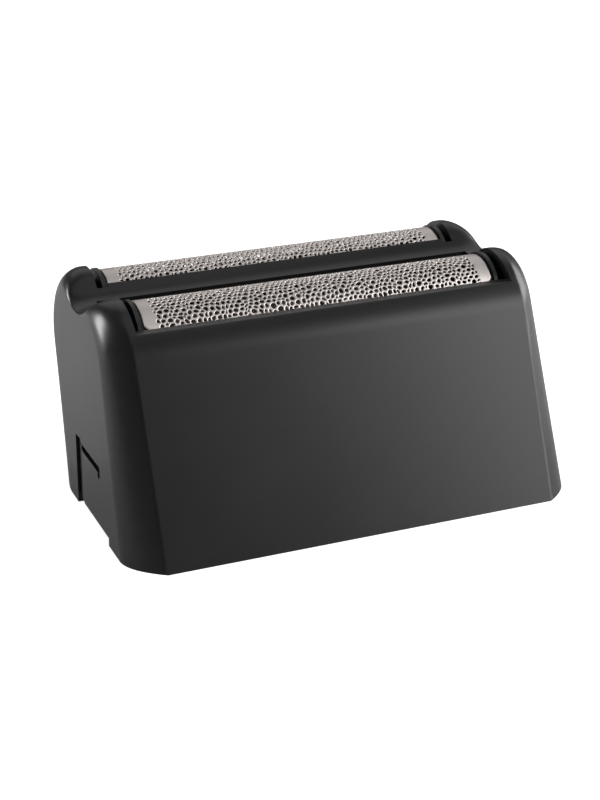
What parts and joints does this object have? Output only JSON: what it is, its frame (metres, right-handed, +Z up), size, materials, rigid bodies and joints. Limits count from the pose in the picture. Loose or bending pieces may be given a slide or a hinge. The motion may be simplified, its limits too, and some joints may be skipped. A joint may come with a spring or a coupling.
{
  "type": "shaver foil head",
  "caption": "Push-on head of an electric foil shaver: lobed black plastic housing, open below, with arched perforated metal foils side by side on plastic carriers",
  "frame": {"origin": "middle of the flat lower rim that the head stands on", "axes": "X along the foils, Y from the front wall to the rear wall, Z up through the foils"},
  "size_m": [0.058, 0.0372, 0.0282],
  "materials": {
    "housing_plastic": "fine matt moulded finish, near black",
    "foil_steel": "thin bright etched sheet",
    "carrier_plastic": "satin moulded finish, near black"
  },
  "bodies": {
    "root": {"housing": "housing_plastic", "front_foil": "foil_steel", "rear_foil": "foil_steel", "front_carrier": "carrier_plastic", "rear_carrier": "carrier_plastic"}
  },
  "joints": []
}
